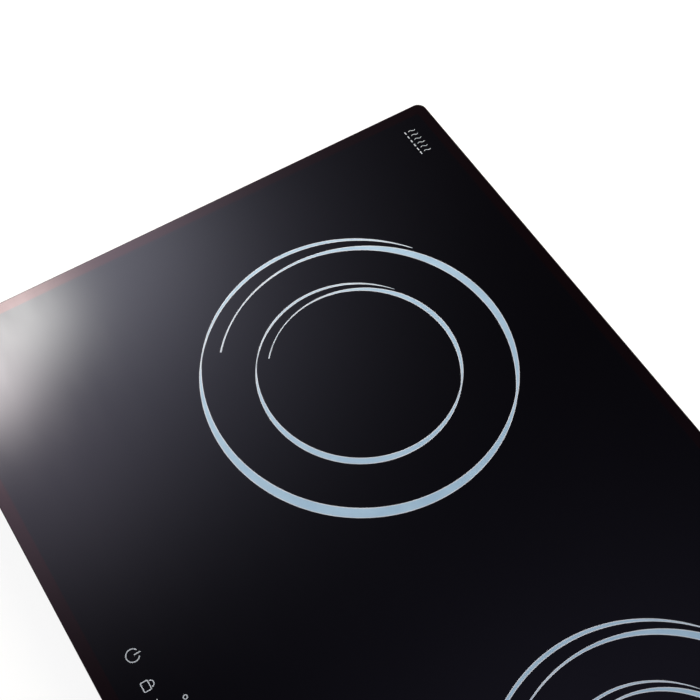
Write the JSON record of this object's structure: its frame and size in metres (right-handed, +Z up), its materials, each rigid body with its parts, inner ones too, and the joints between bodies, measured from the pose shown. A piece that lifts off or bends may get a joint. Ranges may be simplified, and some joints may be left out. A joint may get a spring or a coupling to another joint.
{
  "type": "induction cooktop",
  "caption": "Built-in electric induction cooktop: a flat black glass-ceramic panel with round printed cooking zones over a shallow steel pan with coils, fans and hold-down clamps.",
  "frame": {"origin": "centre of the base pan's underside, the lowest face", "axes": "+X to the user's right along the long side, +Y to the back, away from the user, +Z up through the cooking surface"},
  "size_m": [0.597, 0.362, 0.064],
  "materials": {
    "glass_ceramic": "gloss black",
    "seal_foam": "closed-cell foam",
    "frame_plastic": "moulded matt",
    "pan_steel": "galvanised sheet",
    "carrier_aluminium": "mill",
    "former_plastic": "glass-filled, matt",
    "copper_litz": "enamelled copper wire",
    "ferrite": "sintered, matt",
    "mica": "matt sheet",
    "spring_steel": "drawn wire",
    "circuit_board": "solder mask",
    "component_black": "moulded",
    "capacitor_case": "dipped",
    "display_lens": "dark red filter",
    "lead_jacket": "silicone sleeve",
    "ribbon_grey": "flat cable",
    "zinc_steel": "zinc plated"
  },
  "bodies": {
    "cooktop": {"base_pan": "pan_steel", "cable_gland": "frame_plastic", "capacitor_left": "capacitor_case", "capacitor_right": "capacitor_case", "carrier_plate": "carrier_aluminium", "choke_left": "copper_litz", "choke_right": "copper_litz", "coil_former_left": "former_plastic", "coil_former_right": "former_plastic", "coil_lead_left": "lead_jacket", "coil_lead_right": "lead_jacket", "coil_spring_left_1": "spring_steel", "coil_spring_left_2": "spring_steel", "coil_spring_left_3": "spring_steel", "coil_spring_right_1": "spring_steel", "coil_spring_right_2": "spring_steel", "coil_spring_right_3": "spring_steel", "coil_winding_left": "copper_litz", "coil_winding_right": "copper_litz", "display_left": "display_lens", "display_right": "display_lens", "fan_frame_left": "component_black", "fan_frame_right": "component_black", "ferrite_bar_left_1": "ferrite", "ferrite_bar_left_2": "ferrite", "ferrite_bar_left_3": "ferrite", "ferrite_bar_left_4": "ferrite", "ferrite_bar_right_1": "ferrite", "ferrite_bar_right_2": "ferrite", "ferrite_bar_right_3": "ferrite", "ferrite_bar_right_4": "ferrite", "glass_frame": "frame_plastic", "glass_panel": "glass_ceramic", "heat_sink_left": "carrier_aluminium", "heat_sink_right": "carrier_aluminium", "igbt_left": "component_black", "igbt_right": "component_black", "insulation_disc_left": "mica", "insulation_disc_right": "mica", "mains_lead_left": "lead_jacket", "mains_lead_right": "lead_jacket", "power_board_left": "circuit_board", "power_board_right": "circuit_board", "ribbon_cable": "ribbon_grey", "rim_seal": "seal_foam", "temperature_sensor_left": "component_black", "temperature_sensor_right": "component_black", "terminal_block": "frame_plastic", "touch_board": "circuit_board", "touch_holder": "frame_plastic"},
    "fan_left": {"fan_rotor_left": "component_black"},
    "fan_right": {"fan_rotor_right": "component_black"},
    "clamp_1_post": {"clamp_screw_1": "zinc_steel"},
    "clamp_1_hook": {"clamp_arm_1": "zinc_steel"},
    "clamp_2_post": {"clamp_screw_2": "zinc_steel"},
    "clamp_2_hook": {"clamp_arm_2": "zinc_steel"},
    "clamp_3_post": {"clamp_screw_3": "zinc_steel"},
    "clamp_3_hook": {"clamp_arm_3": "zinc_steel"},
    "clamp_4_post": {"clamp_screw_4": "zinc_steel"},
    "clamp_4_hook": {"clamp_arm_4": "zinc_steel"}
  },
  "joints": [
    {"name": "fan_left_spin", "type": "hinge", "parent": "cooktop", "child": "fan_left", "pos_m": [-0.215, 0.095, 0.0143], "axis": [0, 0, 1], "continuous": true},
    {"name": "fan_right_spin", "type": "hinge", "parent": "cooktop", "child": "fan_right", "pos_m": [0.215, 0.095, 0.0143], "axis": [0, 0, 1], "continuous": true},
    {"name": "clamp_1_swing", "type": "hinge", "parent": "cooktop", "child": "clamp_1_post", "pos_m": [-0.284, 0.11, 0.0292], "axis": [0, 0, 1], "range_deg": [0, 90]},
    {"name": "clamp_1_lift", "type": "slide", "parent": "clamp_1_post", "child": "clamp_1_hook", "axis": [0, 0, 1], "range_m": [0, 0.03]},
    {"name": "clamp_2_swing", "type": "hinge", "parent": "cooktop", "child": "clamp_2_post", "pos_m": [-0.284, -0.11, 0.0292], "axis": [0, 0, 1], "range_deg": [0, 90]},
    {"name": "clamp_2_lift", "type": "slide", "parent": "clamp_2_post", "child": "clamp_2_hook", "axis": [0, 0, 1], "range_m": [0, 0.03]},
    {"name": "clamp_3_swing", "type": "hinge", "parent": "cooktop", "child": "clamp_3_post", "pos_m": [0.284, -0.11, 0.0292], "axis": [0, 0, 1], "range_deg": [0, 90]},
    {"name": "clamp_3_lift", "type": "slide", "parent": "clamp_3_post", "child": "clamp_3_hook", "axis": [0, 0, 1], "range_m": [0, 0.03]},
    {"name": "clamp_4_swing", "type": "hinge", "parent": "cooktop", "child": "clamp_4_post", "pos_m": [0.284, 0.11, 0.0292], "axis": [0, 0, 1], "range_deg": [0, 90]},
    {"name": "clamp_4_lift", "type": "slide", "parent": "clamp_4_post", "child": "clamp_4_hook", "axis": [0, 0, 1], "range_m": [0, 0.03]}
  ]
}
